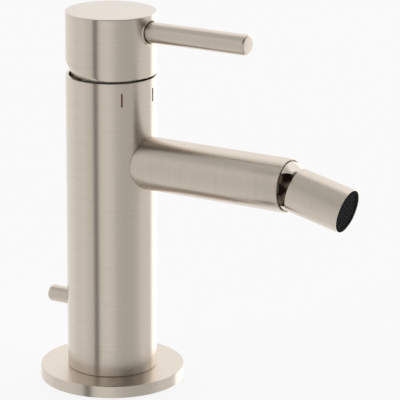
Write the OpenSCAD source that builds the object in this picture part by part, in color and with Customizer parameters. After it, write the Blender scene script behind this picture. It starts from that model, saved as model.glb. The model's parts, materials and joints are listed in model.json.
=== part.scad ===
// Single-lever bidet mixer with a swivel nozzle and a rear pop-up knob, in millimetres.
// The origin is the centre of the deck face. The spout and the lever point to -Y,
// the pop-up knob points to +Y, and the hot side is -X.

/* [Column] */
// Metal round the cartridge, which sets the outside diameter of the column and the handle
column_wall = 3.6; // [3.2:0.1:5]
// Height of the column rim above the deck
rim_h = 146; // [140:1:170]
// Wall of the hollow column
body_wall = 4; // [3.6:0.1:4.5]
// Wall of the column at its rim
rim_wall = 1.5; // [1.3:0.1:1.7]
// Depth of the cartridge seat below the rim
seat_depth = 19; // [18.5:0.5:21]
// Height of the red and blue marks
mark_h = 6.3; // [4:0.1:8]
// Width of the marks
mark_w = 0.8; // [0.6:0.1:1.5]
// Depth of the mark pockets
mark_t = 0.6; // [0.4:0.1:1]
// Distance from the rim down to the top of the marks
mark_drop = 4.6; // [3:0.1:8]
// Angle of the red mark from the spout
hot_angle = 45; // [30:1:60]
// Angle of the blue mark from the spout
cold_angle = 6; // [4:1:30]

/* [Foot] */
// Diameter of the base flange
flange_d = 67.4; // [60:0.2:76]
// Thickness of the base flange
flange_t = 5.6; // [5:0.1:8]
// Chamfer on the upper edges of the flange, the handle and the lever
edge_chamfer = 0.4; // [0.2:0.1:0.6]
// Wall of the spigot that centres the flange
spigot_wall = 1.5; // [1.2:0.1:2]
// Thickness of the foot plug
plug_t = 13; // [12.5:0.5:16]
// Depth that the foot plug is wider than the hollow of the column
plug_step = 0.5; // [0.3:0.1:0.8]
// Width of the deck gasket
gasket_w = 7; // [4:0.5:8]
// Thickness of the deck gasket
gasket_t = 1.5; // [1:0.1:2.5]
// Distance from the flange edge to the gasket
gasket_margin = 2; // [1.5:0.1:3]

/* [Supply] */
// Distance between the hot and cold waterways
inlet_spacing = 15; // [14.6:0.2:16]
// Distance of the waterways in front of the column axis
inlet_front = 2; // [1:0.5:3]
// Diameter of the inlet waterways
inlet_d = 5.6; // [4.6:0.2:6]
// Tapping diameter of the hose ports
port_d = 9; // [8:0.1:10]
// Depth of the hose ports
port_depth = 8.6; // [7:0.1:9]
// Outside diameter of the risers
riser_d = 8; // [7.4:0.1:8.6]
// Wall of the risers
riser_wall = 1; // [0.8:0.1:1.4]
// Depth of the riser sockets
riser_socket = 3; // [2:0.1:3.2]
// Tapping diameter of the fixing stud hole
stud_d = 6.8; // [5:0.1:8]
// Depth of the fixing stud hole
stud_depth = 10; // [8:0.5:11]
// Distance of the fixing stud in front of the column axis
stud_front = 10.5; // [9.5:0.5:12]
// Diameter of the mixed water channel below the cartridge
outlet_d = 6.4; // [5:0.2:6.6]
// Distance of the mixed water channel behind the column axis
outlet_back = 6; // [5:0.5:7]

/* [Spout] */
// Outside diameter of the spout
spout_d = 24.6; // [24.2:0.2:28]
// Distance from the column axis to the end of the spout
spout_reach = 93.2; // [70:0.2:130]
// Distance from the rim down to the spout axis
spout_drop = 39.7; // [36:0.1:46]
// Diameter of the waterway in the spout
spout_bore_d = 16; // [10:0.5:17]
// Diameter of the channel that feeds the spout
feed_d = 7; // [6.8:0.1:7.4]
// Diameter of the spigot that enters the column
spout_spigot_d = 20; // [19:0.2:21]
// Length of the spout spigot inside the column
spout_spigot_len = 6; // [4:0.5:8]
// Metal left below the spout socket
block_floor = 2.25; // [2:0.05:6]

/* [Ball joint] */
// Distance from the ball centre to the end of the spout
ball_setback = 2.1; // [1.6:0.1:2.6]
// Diameter of the swivel ball
ball_d = 16; // [15.4:0.1:16.4]
// Thickness of the plastic liner round the ball
liner_t = 1.2; // [0.8:0.1:1.3]
// Reach of the liner behind and in front of the ball centre
liner_half = 2.7; // [2:0.1:3.5]
// Diameter of the retainer dome
dome_d = 23; // [22.4:0.1:23.2]
// Diameter of the retainer opening
open_d = 15.2; // [14.6:0.1:15.4]
// Outside diameter of the retainer sleeve
sleeve_d = 21; // [20.8:0.1:21.6]
// Depth of the dark seam at the end of the spout
seam_depth = 0.8; // [0.5:0.1:1.2]
// Width of the thin lip at the end of the spout
spout_lip = 0.55; // [0.4:0.05:0.7]
// Thickness of the ball seal
seal_d = 2.6; // [2:0.1:3]
// Middle diameter of the ball seal
seal_ring_d = 13.2; // [12:0.1:13.4]
// Thickness of the seat ring behind the ball seal
seat_ring_t = 2.5; // [2:0.1:4]
// Bore of the seat ring
seat_ring_bore = 10; // [8:0.2:10]

/* [Nozzle] */
// Diameter of the nozzle
nozzle_d = 20.6; // [20.2:0.1:21]
// Distance from the ball centre to the mouth of the nozzle
nozzle_len = 32.1; // [30:0.1:40]
// Downward tilt of the nozzle at rest
nozzle_tilt = 13.4; // [0:0.2:15]
// Gap between the retainer dome and the nozzle
dome_gap = 0.25; // [0.2:0.05:0.4]
// Diameter of the hollow neck
neck_d = 8; // [7:0.1:8.4]
// Waterway through the ball and the neck
neck_bore_d = 5.6; // [4:0.1:6]
// Distance from the ball centre to the inner face of the nozzle
web_end = 18; // [16:0.5:20]
// Bore of the aerator chamber
aerator_d = 18.6; // [18:0.1:19]
// Thickness of the aerator washer
washer_t = 1.5; // [1:0.1:2.5]
// Thickness of the bright lip round the aerator
nozzle_lip = 0.4; // [0.3:0.05:0.6]
// Width of the black ring round the screen
aerator_ring = 1.05; // [0.8:0.05:1.4]
// Thickness of the aerator screen and of the black ring
screen_t = 0.9; // [0.6:0.1:1.4]
// Depth of the aerator below the nozzle mouth
aerator_inset = 0.2; // [0.1:0.1:0.6]
// Pitch of the screen bars
screen_pitch = 1.4; // [1.2:0.1:2.4]
// Width of the screen bars
screen_bar = 0.5; // [0.3:0.1:0.8]
// Thickness of the diffuser
diffuser_t = 2.5; // [1.5:0.5:4]

/* [Cartridge] */
// Outside diameter of the cartridge
cartridge_d = 34.8; // [34.6:0.1:35]
// Thickness of the cartridge base
base_t = 4.5; // [3.5:0.5:5]
// Thickness of the fixed ceramic disc
fixed_disc_t = 3; // [2.5:0.5:3.5]
// Thickness of the moving ceramic disc
moving_disc_t = 2.5; // [2:0.5:3]
// Wall of the cartridge housing beside the discs
housing_wall = 3.5; // [3.3:0.1:3.7]
// Free margin of the moving disc at the end of its travel
disc_margin = 0.6; // [0.4:0.1:1.2]
// Travel of the moving disc
disc_travel = 3.6; // [3:0.1:3.8]
// Depth of the mixing recess in the moving disc
recess_depth = 1.2; // [0.8:0.1:1.4]
// Thickness of the port seals
port_seal_t = 1.5; // [1:0.1:2]
// Width of the port seals
port_seal_w = 1.4; // [1:0.1:1.6]
// Thickness of the carrier below its key
carrier_t = 3.4; // [3:0.1:3.6]
// Height of the carrier key
key_h = 2.8; // [2.2:0.1:3]
// Length of the carrier key
key_len = 9.2; // [8.6:0.2:9.4]
// Width that the turret flange stands out from its shaft
turret_step = 1.5; // [1.2:0.1:1.7]
// Distance from the wall of the housing to the turret flange
turret_inset = 1.9; // [1.8:0.1:2.2]
// Thickness of the turret flange
turret_flange_t = 1.9; // [1.5:0.1:2.2]
// Height of the shoulder that the nut holds above the seat
shoulder_rise = 10; // [9.5:0.1:10.2]
// Height of the pivot pin above the cartridge seat
pivot_rise = 25; // [24.8:0.1:26]
// Distance from the pivot pin down to the stem ball
stem_arm = 12; // [11.6:0.1:12.2]
// Diameter of the stem ball
stem_ball_d = 5; // [4.6:0.1:5.2]
// Width of the square stem
stem_w = 8; // [7.6:0.1:8.4]
// Diameter of the pivot pin
pin_d = 3; // [2.5:0.1:3.4]
// Radius of the turret ears
ear_r = 3.4; // [3:0.1:3.8]
// Thickness of the turret ears
ear_t = 3.2; // [2.5:0.1:3.8]
// Wall of the cartridge neck round the turret
neck_wall = 1.2; // [1:0.1:1.3]
// Height of the cartridge nut
nut_h = 3.8; // [3:0.1:3.9]
// Number of wrench notches in the cartridge nut
nut_notches = 6; // [4:1:8]

/* [Handle] */
// Gap between the column rim and the handle
cap_gap = 1; // [0.8:0.1:2]
// Height of the handle
cap_h = 28.6; // [27:0.1:34]
// Distance from the handle top down to the lever axis
lever_drop = 7.8; // [7:0.1:9]
// Diameter of the lever
lever_d = 9.6; // [8.6:0.1:10.2]
// Distance from the column axis to the end of the lever
lever_reach = 71.6; // [50:0.2:100]
// Gap round the lever where it enters the handle
lever_gap = 0.4; // [0.3:0.1:0.8]
// Depth of the lever seat in the handle
lever_seat = 2; // [1.5:0.1:3]
// Diameter of the threaded shank of the lever
shank_d = 8; // [6:0.1:8.4]
// Distance from the grub screw to the threaded shank
shank_gap = 1; // [0.8:0.1:2]
// Diameter of the grub screw
grub_d = 5; // [4:0.1:5.4]
// Length of the grub screw
grub_len = 5.8; // [4:0.1:6]
// Wall of the handle skirt
cap_wall = 4.7; // [4.2:0.1:4.8]
// Depth of the handle hollow
cap_hollow = 13.5; // [12.5:0.1:14]
// Length of stem inside the handle socket
stem_grip = 9.5; // [9:0.1:10]
// Height of the rounded relief at the back of the handle
relief_h = 12.5; // [11:0.5:13]
// Distance that the relief ball is larger than the handle's radius
relief_out = 2.67; // [2.5:0.01:3]
// Distance of the relief centre in front of the column axis
relief_front = 2.3; // [2:0.1:2.6]

/* [Pop-up] */
// Diameter of the pop-up knob
knob_d = 7.9; // [7:0.1:10]
// Height of the knob axis above the deck
knob_h = 34.5; // [32:0.5:60]
// Distance from the column axis to the end of the knob
knob_reach = 34.1; // [30:0.1:45]
// Rounding of the knob end
knob_round = 1; // [0.5:0.1:2]
// Travel of the knob
popup_travel = 18; // [8:1:25]
// Diameter of the lift rod and of the knob neck
rod_d = 5; // [4:0.1:5.4]
// Distance from the hollow's wall to the axis of the lift rod
rod_inset = 6; // [5.6:0.1:7]
// Diameter of the rod head
head_d = 10; // [9:0.1:10.4]
// Distance from the knob axis to the lower face of the rod head
head_below = 7; // [5:0.5:8]
// Distance from the knob axis to the upper face of the rod head
head_above = 5.5; // [4:0.5:8]
// Length of the rod bush inside the foot plug
bush_len = 14; // [10:0.5:16]
// Thickness of the bush flange
bush_flange_t = 1.2; // [0.8:0.1:2]
// Wall of the bush
bush_wall = 1.25; // [1:0.05:1.5]
// Height of the rod's lower end above the deck
rod_end = 1; // [0.5:0.5:3]
// Tapping diameter of the thread in the rod's lower end
rod_thread_d = 3.3; // [2.5:0.1:3.3]
// Depth of the thread in the rod's lower end
rod_thread_depth = 8; // [6:0.5:10]

/* [Fits] */
// Radial clearance of parts that slide or turn in each other
running_fit = 0.05; // [0.03:0.01:0.08]
// Radial clearance of parts that stay together
seated_fit = 0.03; // [0.02:0.01:0.05]
// Free gap between moving parts that never touch
free_gap = 0.3; // [0.25:0.05:0.4]
// Water film between the ceramic discs
disc_film = 0.02; // [0.01:0.01:0.04]

/* [Hidden] */
$fn = 64;
over = 1;

// Colours of the finishes
nickel = "#c4b8aa";
chrome = "#d8dade";
brass = "#c8a850";
copper = "#b87850";
steel = "#a8aaac";
ceramic = "#ece6da";
plastic = "#e4e4de";
black = "#202022";

// Small clearances and margins of the cartridge
ear_root = 0.6;
turret_play = 0.1;
collar_wall = 1.3;
nut_gap = 0.1;
nut_lap = 1.75;
slot_gap = 0.2;
key_gap = 0.1;
slot_end_gap = 0.4;
neck_gap = 0.2;
pocket_gap = 0.2;
pocket_floor = 0.3;
pocket_flare = 0.9;
flare_rise = 0.8;
stem_neck_step = 0.5;
recess_rim = 1.5;
recess_edge = 0.5;
notch_w = 3;
notch_depth = 2;
notch_wall = 1.4;

// Column and foot
cartridge_r = cartridge_d / 2;
body_r = cartridge_r + column_wall;
cavity_r = body_r - body_wall;
plug_r = cavity_r + plug_step;
spigot_r = plug_r + seated_fit + spigot_wall;
gasket_r = flange_d / 2 - gasket_margin;
inlet_x = inlet_spacing / 2;
riser_r = riser_d / 2;
spout_z = rim_h - spout_drop;
spout_spigot_r = spout_spigot_d / 2;
block_z = spout_z - spout_spigot_r - seated_fit - block_floor;
seat_z = rim_h - seat_depth;

// Cartridge levels, from the seat upwards
fixed_z = seat_z + base_t;
moving_z = fixed_z + fixed_disc_t + disc_film;
carrier_z = moving_z + moving_disc_t;
key_z = carrier_z + carrier_t;
turret_z = key_z + free_gap;
shoulder_z = seat_z + shoulder_rise;
nut_top_z = shoulder_z + nut_h;
pivot_z = seat_z + pivot_rise;
turret_top_z = pivot_z - ear_r - ear_root;
lip_z = turret_z + turret_flange_t + turret_play;
disc_shift = disc_travel / 2;
hollow_r = cartridge_r - housing_wall;
fixed_disc_r = hollow_r - free_gap;
moving_disc_r = hollow_r - disc_shift - disc_margin;
turret_flange_r = hollow_r - turret_inset;
turret_r = turret_flange_r - turret_step;
turret_pocket_r = turret_flange_r + neck_gap;
collar_r = hollow_r + collar_wall;
nut_bore_r = collar_r + nut_gap;
nut_r = cartridge_r + nut_lap;
stem_half = stem_w / 2;
slot_half = stem_half + slot_gap;
key_half = stem_half + key_gap;
pocket_r = stem_ball_d / 2 + pocket_gap;
ball_z = pivot_z - stem_arm;
stem_foot_z = ball_z + stem_ball_d;

// Handle
hex_depth = 2;
cap_z = rim_h + cap_gap;
cap_top = cap_z + cap_h;
lever_z = cap_top - lever_drop;
lever_r = lever_d / 2;
cap_cavity_r = body_r - cap_wall;
relief_r = body_r + relief_out;
cap_hollow_z = cap_z + cap_hollow;
stem_top_z = cap_hollow_z + stem_grip;
lever_seat_y = body_r - lever_seat;
grub_end = stem_half + grub_len;
shank_start = grub_end + shank_gap;

// Spout end, measured outwards from the ball centre along the spout
spout_r = spout_d / 2;
ball_r = ball_d / 2;
ball_y = spout_reach - ball_setback;
liner_r = ball_r + running_fit + liner_t;
socket_r = liner_r + running_fit;
dome_r = dome_d / 2;
sleeve_r = sleeve_d / 2;
dome_start = ball_setback - seam_depth;
seal_r = seal_d / 2;
seal_ring_r = seal_ring_d / 2;
seal_side_gap = 0.1;
seal_u = -sqrt(pow(ball_r + seal_r + disc_film, 2) - pow(seal_ring_r, 2));
sleeve_start = seal_u - seal_r;
seat_ring_start = sleeve_start - seat_ring_t;

// Nozzle, measured outwards from the ball centre along the nozzle
nozzle_r = nozzle_d / 2;
cup_r = dome_r + dome_gap;
chamber_r = aerator_d / 2;
housing_start = web_end + washer_t;
aerator_r = chamber_r - running_fit;
ring_r = nozzle_r - nozzle_lip - running_fit;
ring_end = nozzle_len - aerator_inset;
ring_start = ring_end - screen_t;
screen_r = ring_r - aerator_ring;
aerator_wall = 1.8;
shelf_t = 1.2;
shelf_w = 1;
washer_w = 3;
jets = 12;
jet_r = 0.6;
jet_inset = 2.6;
screen_rim = 0.6;
diffuser_start = housing_start + shelf_t;
diffuser_r = aerator_r - aerator_wall;

// Pop-up
rod_r = rod_d / 2;
rod_back = cavity_r - rod_inset;
head_r = head_d / 2;
head_z = knob_h - head_below;
boss_top = head_z - free_gap - bush_flange_t;
bush_r = rod_r + running_fit + bush_wall;
boss_wall = 1.7;
boss_r = bush_r + boss_wall;
slot_r = rod_r + free_gap;
knob_thread_step = 0.5;
knob_thread_r = rod_r - knob_thread_step;
knob_thread_len = 5;

// Basic solids

module rod(r, from, to) {
    translate([0, 0, from]) cylinder(r = r, h = to - from);
}

module ring(r_out, r_in, from, to) {
    difference() {
        rod(r_out, from, to);
        rod(r_in, from - over, to + over);
    }
}

// Disc whose upper edge is chamfered
module chamfered_rod(r, from, to, chamfer) {
    translate([0, 0, from]) rotate_extrude()
        polygon([[0, 0], [r, 0], [r, to - from - chamfer], [r - chamfer, to - from], [0, to - from]]);
}

module box(x0, x1, y0, y1, z0, z1) {
    translate([x0, y0, z0]) cube([x1 - x0, y1 - y0, z1 - z0]);
}

// Places whose +Z runs out along the spout, the nozzle, the lever and the knob

module along_spout() {
    translate([0, -ball_y, spout_z]) rotate([90, 0, 0]) children();
}

module along_nozzle() {
    translate([0, -ball_y, spout_z]) rotate([90 + nozzle_tilt, 0, 0]) children();
}

module along_lever() {
    translate([0, 0, lever_z]) rotate([90, 0, 0]) children();
}

module along_knob() {
    translate([0, 0, knob_h]) rotate([-90, 0, 0]) children();
}

// Copies for the hot and the cold side
module at_inlets() {
    for (side = [-1, 1])
        translate([side * inlet_x, -inlet_front, 0]) children();
}

module at_outlet() {
    translate([0, outlet_back, 0]) children();
}

module at_rod() {
    translate([0, rod_back, 0]) children();
}

// Upright mark on the column, at an angle from the spout towards +X
module mark_block(angle, depth, gap) {
    rotate([0, 0, angle])
        box(-mark_w / 2 - gap, mark_w / 2 + gap, -body_r - over, -body_r + depth,
            rim_h - mark_drop - mark_h - gap, rim_h - mark_drop + gap);
}

module mark(angle) {
    intersection() {
        rod(body_r, rim_h - mark_drop - mark_h, rim_h - mark_drop, $fn = 720);
        mark_block(angle, mark_t, 0);
    }
}

// Foot

module base_flange() {
    color(nickel) difference() {
        chamfered_rod(flange_d / 2, 0, flange_t, edge_chamfer);
        rod(spigot_r + seated_fit, -over, flange_t + over);
        ring(gasket_r + seated_fit, gasket_r - gasket_w - seated_fit, -over, gasket_t);
    }
}

module base_gasket() {
    color(black) ring(gasket_r, gasket_r - gasket_w, 0, gasket_t);
}

module foot_plug() {
    color(brass) difference() {
        union() {
            rod(plug_r, 0, plug_t);
            at_rod() rod(boss_r, plug_t - over, boss_top);
        }
        at_inlets() {
            rod(port_d / 2, -over, port_depth);
            rod(inlet_d / 2, -over, plug_t + over);
            rod(riser_r + seated_fit, plug_t - riser_socket, plug_t + over);
        }
        translate([0, -stud_front, 0]) rod(stud_d / 2, -over, stud_depth);
        at_rod() {
            rod(rod_r + free_gap, -over, boss_top + over);
            rod(bush_r + seated_fit, boss_top - bush_len, boss_top + over);
        }
    }
}

module inlet_risers() {
    color(copper) at_inlets()
        ring(riser_r, riser_r - riser_wall, plug_t - riser_socket, block_z + riser_socket);
}

module rod_bush() {
    color(plastic) at_rod() difference() {
        union() {
            rod(bush_r, boss_top - bush_len, boss_top);
            rod(boss_r - free_gap, boss_top, boss_top + bush_flange_t);
        }
        rod(rod_r + running_fit, boss_top - bush_len - over, boss_top + bush_flange_t + over);
    }
}

// Column

module mixer_body() {
    color(nickel) difference() {
        union() {
            rod(body_r, flange_t, rim_h);
            rod(spigot_r, 0, flange_t + over);
        }
        rod(plug_r + seated_fit, -over, plug_t);
        rod(cavity_r, plug_t - over, block_z);
        rod(cartridge_r + running_fit, seat_z, rim_h + over);
        rod(nut_r + running_fit, shoulder_z - free_gap, rim_h + over);
        rod(body_r - rim_wall, nut_top_z, rim_h + over);
        at_inlets() {
            rod(inlet_d / 2, block_z - over, seat_z + over);
            rod(riser_r + seated_fit, block_z - over, block_z + riser_socket);
        }
        at_outlet() rod(outlet_d / 2, spout_z, seat_z + over);
        along_spout() {
            rod(feed_d / 2, -ball_y - outlet_back - outlet_d / 2 - over, -ball_y + body_r);
            rod(spout_spigot_r + seated_fit, -ball_y + body_r - spout_spigot_len, -ball_y + body_r + over);
        }
        for (lift = [0, popup_travel])
            translate([0, 0, lift]) along_knob() rod(slot_r, cavity_r - over, body_r + over);
        box(-slot_r, slot_r, cavity_r - over, body_r + over, knob_h, knob_h + popup_travel);
        mark_block(-hot_angle, mark_t, seated_fit);
        mark_block(cold_angle, mark_t, seated_fit);
    }
}

module hot_mark() {
    color("red") mark(-hot_angle);
}

module cold_mark() {
    color("blue") mark(cold_angle);
}

// Cartridge

module cartridge_base() {
    color(plastic) difference() {
        rod(cartridge_r - seated_fit, seat_z, fixed_z);
        at_inlets() {
            rod(inlet_d / 2, seat_z - over, fixed_z + over);
            rod(inlet_d / 2 + port_seal_w + seated_fit, seat_z - over, seat_z + port_seal_t);
        }
        at_outlet() {
            rod(outlet_d / 2, seat_z - over, fixed_z + over);
            rod(outlet_d / 2 + port_seal_w + seated_fit, seat_z - over, seat_z + port_seal_t);
        }
    }
}

module port_seals() {
    color(black) {
        at_inlets() ring(inlet_d / 2 + port_seal_w, inlet_d / 2, seat_z, seat_z + port_seal_t);
        at_outlet() ring(outlet_d / 2 + port_seal_w, outlet_d / 2, seat_z, seat_z + port_seal_t);
    }
}

module fixed_disc() {
    color(ceramic) difference() {
        rod(fixed_disc_r, fixed_z, fixed_z + fixed_disc_t);
        at_inlets() rod(inlet_d / 2, fixed_z - over, fixed_z + fixed_disc_t + over);
        at_outlet() rod(outlet_d / 2, fixed_z - over, fixed_z + fixed_disc_t + over);
    }
}

module moving_disc() {
    color(ceramic) translate([0, disc_shift, 0]) difference() {
        rod(moving_disc_r, moving_z, carrier_z);
        intersection() {
            rod(moving_disc_r - recess_rim, moving_z - over, moving_z + recess_depth);
            box(-body_r, body_r, -recess_edge, moving_disc_r, moving_z - over, moving_z + recess_depth);
        }
    }
}

module disc_carrier() {
    color(plastic) difference() {
        union() {
            translate([0, disc_shift, 0]) rod(moving_disc_r, carrier_z, key_z);
            box(-key_half, key_half, -key_len / 2, key_len / 2, key_z - over, key_z + key_h);
        }
        rod(pocket_r, ball_z - stem_ball_d / 2 - pocket_floor, key_z + key_h + over);
        rod(pocket_r + pocket_flare, ball_z + flare_rise, key_z + key_h + over);
    }
}

module cartridge_turret() {
    color(steel) difference() {
        union() {
            rod(turret_flange_r, turret_z, turret_z + turret_flange_t);
            rod(turret_r, turret_z, turret_top_z);
            for (side = [-1, 1]) {
                box(side * slot_half - (side < 0 ? ear_t : 0), side * slot_half + (side > 0 ? ear_t : 0),
                    -ear_r, ear_r, turret_top_z - over, pivot_z);
                translate([side * (slot_half + ear_t / 2), 0, pivot_z]) rotate([0, 90, 0])
                    cylinder(r = ear_r, h = ear_t, center = true);
            }
        }
        box(-slot_half, slot_half, -key_len / 2 - disc_travel - slot_end_gap, key_len / 2 + slot_end_gap,
            turret_z - over, turret_top_z + over);
        translate([0, 0, pivot_z]) rotate([0, 90, 0])
            cylinder(r = pin_d / 2 + seated_fit, h = 4 * body_r, center = true);
    }
}

module pivot_pin() {
    color(steel) translate([0, 0, pivot_z]) rotate([0, 90, 0])
        cylinder(r = pin_d / 2, h = 2 * (slot_half + ear_t), center = true);
}

module cartridge_stem() {
    color(brass) difference() {
        union() {
            box(-stem_half, stem_half, -stem_half, stem_half, stem_foot_z, stem_top_z);
            rod(stem_ball_d / 2 - stem_neck_step, ball_z, stem_foot_z + over);
            translate([0, 0, ball_z]) sphere(d = stem_ball_d);
        }
        translate([0, 0, pivot_z]) rotate([0, 90, 0])
            cylinder(r = pin_d / 2 + running_fit, h = 2 * stem_w, center = true);
    }
}

module cartridge_housing() {
    color(plastic) difference() {
        union() {
            rod(cartridge_r, fixed_z, shoulder_z);
            rod(collar_r, fixed_z, nut_top_z);
            rod(turret_pocket_r + neck_wall, fixed_z, rim_h);
        }
        rod(hollow_r, fixed_z - over, key_z);
        rod(turret_pocket_r, key_z - over, lip_z);
        rod(turret_r + running_fit, lip_z - over, rim_h + over);
    }
}

module cartridge_nut() {
    color(brass) difference() {
        ring(nut_r, nut_bore_r, shoulder_z, nut_top_z);
        for (i = [1 : nut_notches])
            rotate([0, 0, i * 360 / nut_notches])
                box(nut_bore_r - over, nut_r - notch_wall, -notch_w / 2, notch_w / 2,
                    nut_top_z - notch_depth, nut_top_z + over);
    }
}

// Handle

module handle_cap() {
    color(nickel) difference() {
        chamfered_rod(body_r, cap_z, cap_top, edge_chamfer);
        difference() {
            rod(2 * body_r, cap_z - over, cap_z + relief_h);
            translate([0, -relief_front, cap_z + relief_h]) sphere(r = relief_r);
        }
        rod(cap_cavity_r, cap_z - over, cap_hollow_z);
        box(-stem_half - seated_fit, stem_half + seated_fit, -stem_half - seated_fit,
            stem_half + seated_fit, cap_hollow_z - over, stem_top_z);
        along_lever() {
            rod(lever_r + lever_gap, lever_seat_y, body_r + over);
            rod(shank_d / 2 + seated_fit, shank_start - free_gap, body_r);
            rod(grub_d / 2 + seated_fit, 0, body_r);
        }
    }
}

module lever_bar() {
    color(nickel) along_lever() {
        chamfered_rod(lever_r, lever_seat_y, lever_reach, edge_chamfer);
        rod(shank_d / 2, shank_start, lever_seat_y + over);
    }
}

module handle_grub_screw() {
    color(steel) along_lever() difference() {
        rod(grub_d / 2, stem_half, grub_end);
        translate([0, 0, grub_end - hex_depth])
            cylinder(d = grub_d / 2, h = hex_depth + over, $fn = 6);
    }
}

// Spout and ball joint

module spout_tube() {
    color(nickel) difference() {
        union() {
            difference() {
                along_spout() rod(spout_r, -ball_y, ball_setback);
                rod(body_r + seated_fit, 0, rim_h);
            }
            along_spout() rod(spout_spigot_r, -ball_y + body_r - spout_spigot_len, -ball_y + body_r + over);
        }
        along_spout() {
            rod(spout_bore_d / 2, -ball_y, ball_setback + over);
            rod(sleeve_r + seated_fit, seat_ring_start, ball_setback + over);
            rod(spout_r - spout_lip, dome_start, ball_setback + over);
        }
    }
}

module seat_ring() {
    color(plastic) along_spout() {
        ring(sleeve_r, seat_ring_bore / 2, seat_ring_start, sleeve_start);
        ring(socket_r - seated_fit, seal_ring_r + seal_r + seal_side_gap,
            sleeve_start - over, sleeve_start + seal_r);
    }
}

module ball_seal() {
    color(black) along_spout() rotate_extrude()
        translate([seal_ring_r, seal_u]) circle(r = seal_r);
}

module ball_liner() {
    color(plastic) along_spout() intersection() {
        difference() {
            sphere(r = liner_r);
            sphere(r = ball_r + running_fit);
        }
        rod(2 * liner_r, -liner_half, liner_half);
    }
}

module ball_retainer() {
    color(chrome) along_spout() difference() {
        union() {
            rod(sleeve_r, sleeve_start, dome_start + over);
            intersection() {
                sphere(r = dome_r);
                rod(dome_r + over, dome_start, dome_r + over);
            }
        }
        sphere(r = socket_r);
        rod(socket_r, sleeve_start - over, 0);
        rod(open_d / 2, 0, dome_r + over);
    }
}

// Nozzle

module swivel_ball() {
    color(chrome) along_nozzle() difference() {
        union() {
            sphere(r = ball_r);
            rod(neck_d / 2, 0, web_end);
        }
        rod(neck_bore_d / 2, -ball_r - over, web_end + over);
    }
}

module nozzle_shell() {
    color(nickel) along_nozzle() difference() {
        chamfered_rod(nozzle_r, 0, nozzle_len, nozzle_lip / 2);
        sphere(r = cup_r);
        rod(neck_d / 2 + seated_fit, 0, nozzle_len);
        rod(chamber_r, web_end, nozzle_len + over);
        rod(nozzle_r - nozzle_lip, ring_start, nozzle_len + over);
    }
}

module nozzle_washer() {
    color(black) along_nozzle() ring(aerator_r, aerator_r - washer_w, web_end, housing_start);
}

module aerator_housing() {
    color(black) along_nozzle() difference() {
        union() {
            rod(aerator_r, housing_start, ring_end);
            rod(ring_r, ring_start, ring_end);
        }
        rod(diffuser_r - shelf_w, housing_start - over, ring_end + over);
        rod(diffuser_r + seated_fit, diffuser_start, ring_end + over);
        rod(screen_r + seated_fit, ring_start, ring_end + over);
    }
}

module aerator_diffuser() {
    color(plastic) along_nozzle() difference() {
        rod(diffuser_r, diffuser_start, diffuser_start + diffuser_t);
        for (i = [1 : jets])
            rotate([0, 0, i * 360 / jets]) translate([diffuser_r - jet_inset, 0, 0])
                rod(jet_r, diffuser_start - over, diffuser_start + diffuser_t + over);
    }
}

module aerator_screen() {
    bars = floor(screen_r / screen_pitch);
    color(black) along_nozzle() intersection() {
        rod(screen_r, ring_start, ring_end);
        union() {
            ring(2 * screen_r, screen_r - screen_rim, ring_start, ring_end);
            for (i = [-bars : bars]) {
                box(i * screen_pitch - screen_bar / 2, i * screen_pitch + screen_bar / 2,
                    -screen_r, screen_r, ring_start, ring_end);
                box(-screen_r, screen_r, i * screen_pitch - screen_bar / 2,
                    i * screen_pitch + screen_bar / 2, ring_start, ring_end);
            }
        }
    }
}

// Pop-up

module lift_rod() {
    color(chrome) difference() {
        at_rod() difference() {
            union() {
                rod(rod_r, rod_end, head_z + over);
                rod(head_r, head_z, knob_h + head_above);
            }
            rod(rod_thread_d / 2, rod_end - over, rod_end + rod_thread_depth);
        }
        along_knob()
            rod(knob_thread_r + seated_fit, rod_back + head_r - knob_thread_len, rod_back + head_r + over);
    }
}

module lift_knob() {
    color(nickel) along_knob() {
        rod(knob_thread_r, rod_back + head_r - knob_thread_len, rod_back + head_r + over);
        rod(rod_r, rod_back + head_r, body_r + free_gap + over);
        translate([0, 0, body_r + free_gap]) rotate_extrude() {
            length = knob_reach - body_r - free_gap;
            square([knob_d / 2, length - knob_round]);
            square([knob_d / 2 - knob_round, length]);
            translate([knob_d / 2 - knob_round, length - knob_round]) circle(r = knob_round);
        }
    }
}

base_flange();
base_gasket();
mixer_body();
foot_plug();
inlet_risers();
rod_bush();
spout_tube();
hot_mark();
cold_mark();
port_seals();
cartridge_base();
fixed_disc();
moving_disc();
disc_carrier();
cartridge_turret();
pivot_pin();
cartridge_stem();
cartridge_housing();
cartridge_nut();
handle_cap();
lever_bar();
handle_grub_screw();
seat_ring();
ball_seal();
ball_liner();
ball_retainer();
swivel_ball();
nozzle_shell();
nozzle_washer();
aerator_housing();
aerator_diffuser();
aerator_screen();
lift_rod();
lift_knob();
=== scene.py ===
# %% [markdown]
# # A bidet mixer in brushed nickel
#
# The solids of the mixer are already built and packed: their places, joints and bores are fixed. This
# lesson dresses them. The pieces that show are turned again as fine, smooth meshes with soft edges,
# every piece gets a finish, and a small studio lights the part as in a catalogue picture.

# %% Load the frame
import json
import math

import bmesh
import bpy
from mathutils import Matrix, Vector


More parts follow.
